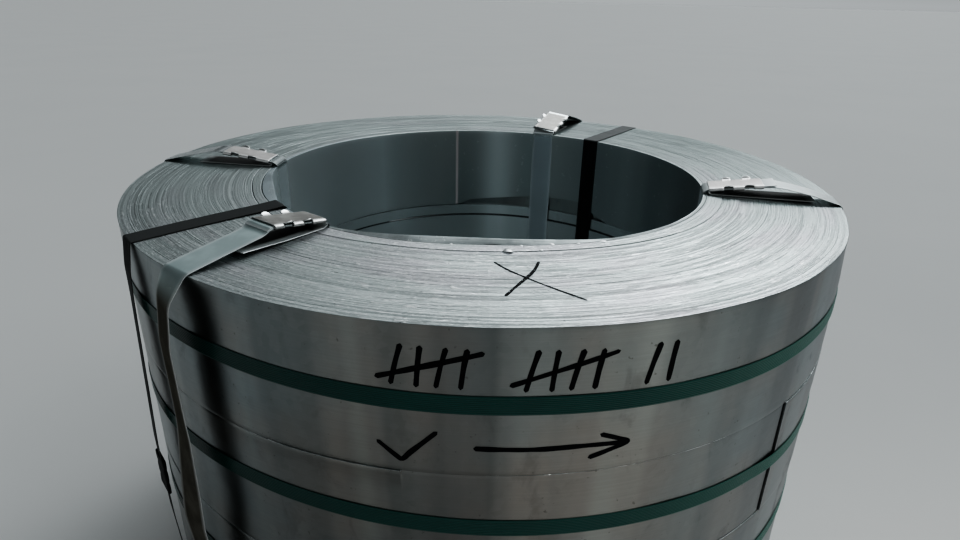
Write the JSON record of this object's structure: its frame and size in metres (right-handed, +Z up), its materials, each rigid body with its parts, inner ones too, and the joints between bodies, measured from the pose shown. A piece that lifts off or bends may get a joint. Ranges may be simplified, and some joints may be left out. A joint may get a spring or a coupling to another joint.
{
  "type": "strapped pack of slit steel coils",
  "caption": "Slit galvanised steel strip coils stacked eye to the sky, held by steel straps through the eye and black straps round the wall.",
  "frame": {"origin": "on the axis of the eye, at the level of the undersides of the eye straps, which the pack stands on", "axes": "+Z up along the axis of the eye; -Y towards the side that the picture shows, +X to the right seen from there"},
  "size_m": [0.7976, 0.7958, 0.5039],
  "materials": {
    "galvanised_steel": "slit strip, galvanised, with fine turns on the ends and a satin outer turn",
    "green_band": "dark green strapping with fine ribs",
    "strap_steel": "bright steel strapping",
    "seal_steel": "crimped steel, dulled",
    "strap_black": "black waxed steel strapping"
  },
  "bodies": {
    "root": {"slit_coil_1": "galvanised_steel", "slit_coil_2": "galvanised_steel", "slit_coil_3": "galvanised_steel", "slit_coil_4": "galvanised_steel", "green_band_1": "green_band", "green_band_2": "green_band", "green_band_3": "green_band", "green_band_4": "green_band", "eye_strap_front_left": "strap_steel", "eye_strap_right": "strap_steel", "eye_strap_back": "strap_steel", "eye_strap_back_left": "strap_steel", "strap_seal_front_left": "seal_steel", "strap_seal_right": "seal_steel", "strap_seal_back": "seal_steel", "strap_seal_back_left": "seal_steel", "black_strap_front_left": "strap_black", "black_strap_back": "strap_black", "black_seal_front_left": "strap_black", "black_seal_back": "strap_black"}
  },
  "joints": []
}
